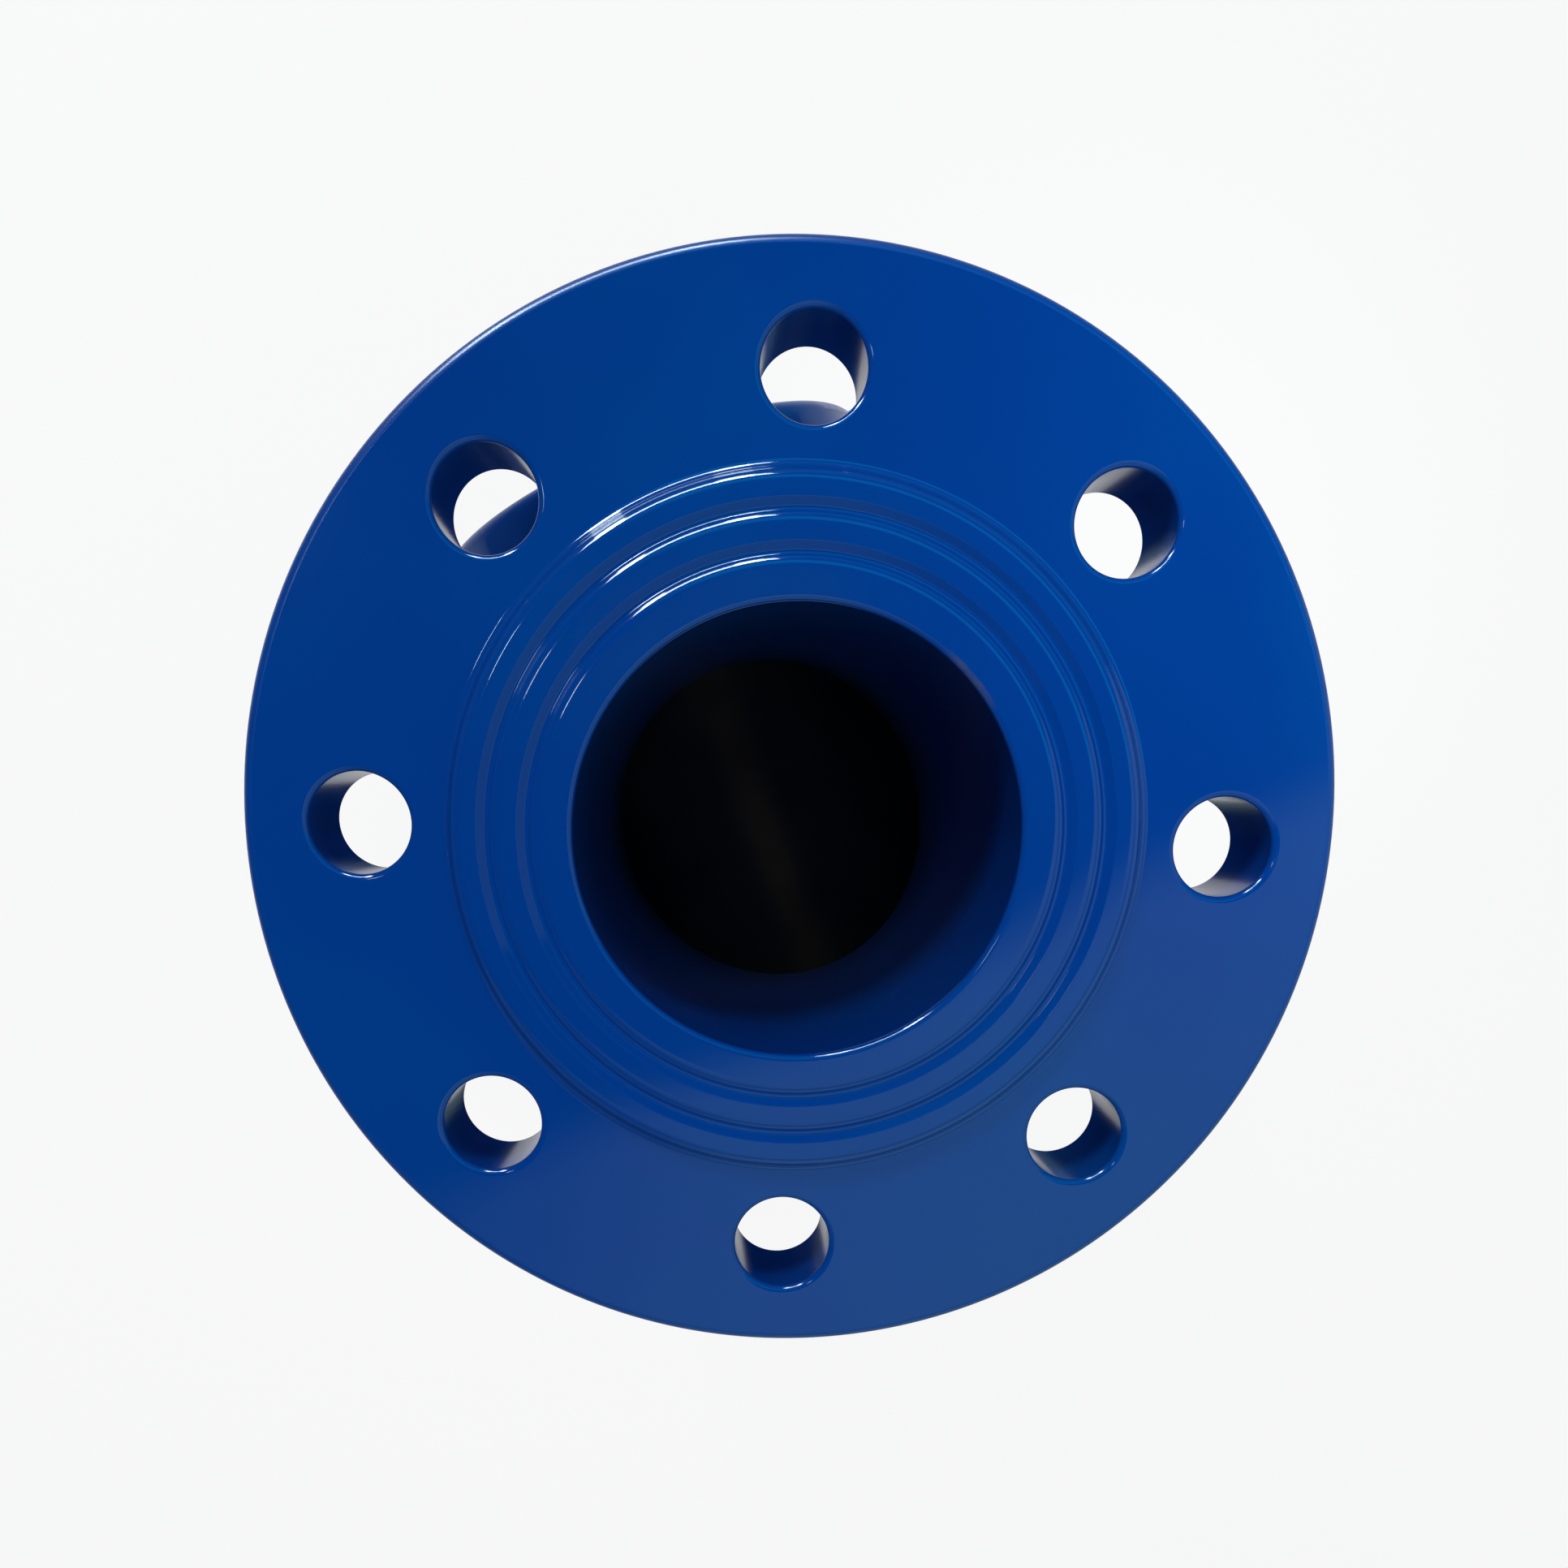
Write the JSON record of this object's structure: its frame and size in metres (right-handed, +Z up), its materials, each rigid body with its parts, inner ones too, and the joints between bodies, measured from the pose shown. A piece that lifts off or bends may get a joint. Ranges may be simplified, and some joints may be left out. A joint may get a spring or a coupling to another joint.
{
  "type": "saddle clamp",
  "caption": "Two-part cast saddle clamp with a rubber lining, bolted round a pipe, with a flanged branch that stands square to it.",
  "frame": {"origin": "where the pipe's axis meets the branch's axis", "axes": "+X along the pipe that the clamp grips, +Y across it towards one pair of bolts, +Z up the branch towards its flange"},
  "size_m": [0.202, 0.202, 0.2182],
  "materials": {
    "coated_iron": "glossy deep-blue fusion-bonded epoxy coat",
    "lining_rubber": "semi-gloss black moulded rubber",
    "zinc_steel": "zinc plated"
  },
  "bodies": {
    "root": {"upper_saddle": "coated_iron", "lower_saddle": "coated_iron", "upper_lining": "lining_rubber", "lower_lining": "lining_rubber", "clamp_bolt_1": "zinc_steel", "clamp_bolt_2": "zinc_steel", "clamp_bolt_3": "zinc_steel", "clamp_bolt_4": "zinc_steel", "clamp_nut_1": "zinc_steel", "clamp_nut_2": "zinc_steel", "clamp_nut_3": "zinc_steel", "clamp_nut_4": "zinc_steel", "head_washer_1": "zinc_steel", "head_washer_2": "zinc_steel", "head_washer_3": "zinc_steel", "head_washer_4": "zinc_steel", "nut_washer_1": "zinc_steel", "nut_washer_2": "zinc_steel", "nut_washer_3": "zinc_steel", "nut_washer_4": "zinc_steel"}
  },
  "joints": []
}
